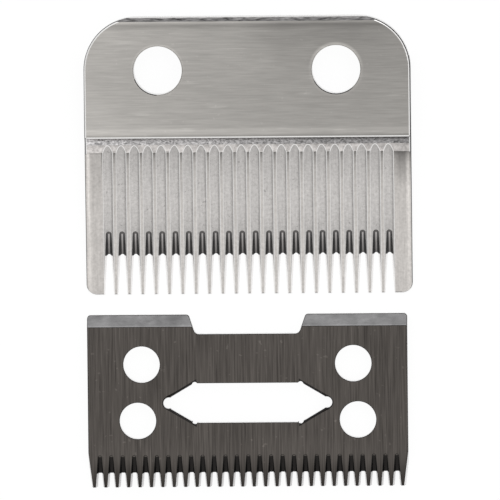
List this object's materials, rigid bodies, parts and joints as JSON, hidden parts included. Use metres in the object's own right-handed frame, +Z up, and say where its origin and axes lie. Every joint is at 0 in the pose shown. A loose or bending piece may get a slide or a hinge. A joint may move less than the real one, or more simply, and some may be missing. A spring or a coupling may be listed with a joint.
{
  "type": "hair clipper blade",
  "caption": "Steel hair clipper blade taken apart: a grooved fixed comb blade with screw holes, and its flat toothed moving cutter with a drive slot, lying side by side.",
  "frame": {"origin": "under the middle of the pair, on the plane both sliding faces lie on", "axes": "+Y from the cutter's teeth towards the fixed blade's screw holes, +Z up out of the visible faces, +X across the teeth"},
  "size_m": [0.0466, 0.0672, 0.0028],
  "materials": {
    "satin_steel": "satin ground steel",
    "dark_steel": "dark finely ground steel"
  },
  "bodies": {
    "root": {"fixed_blade": "satin_steel", "moving_blade": "dark_steel"}
  },
  "joints": []
}
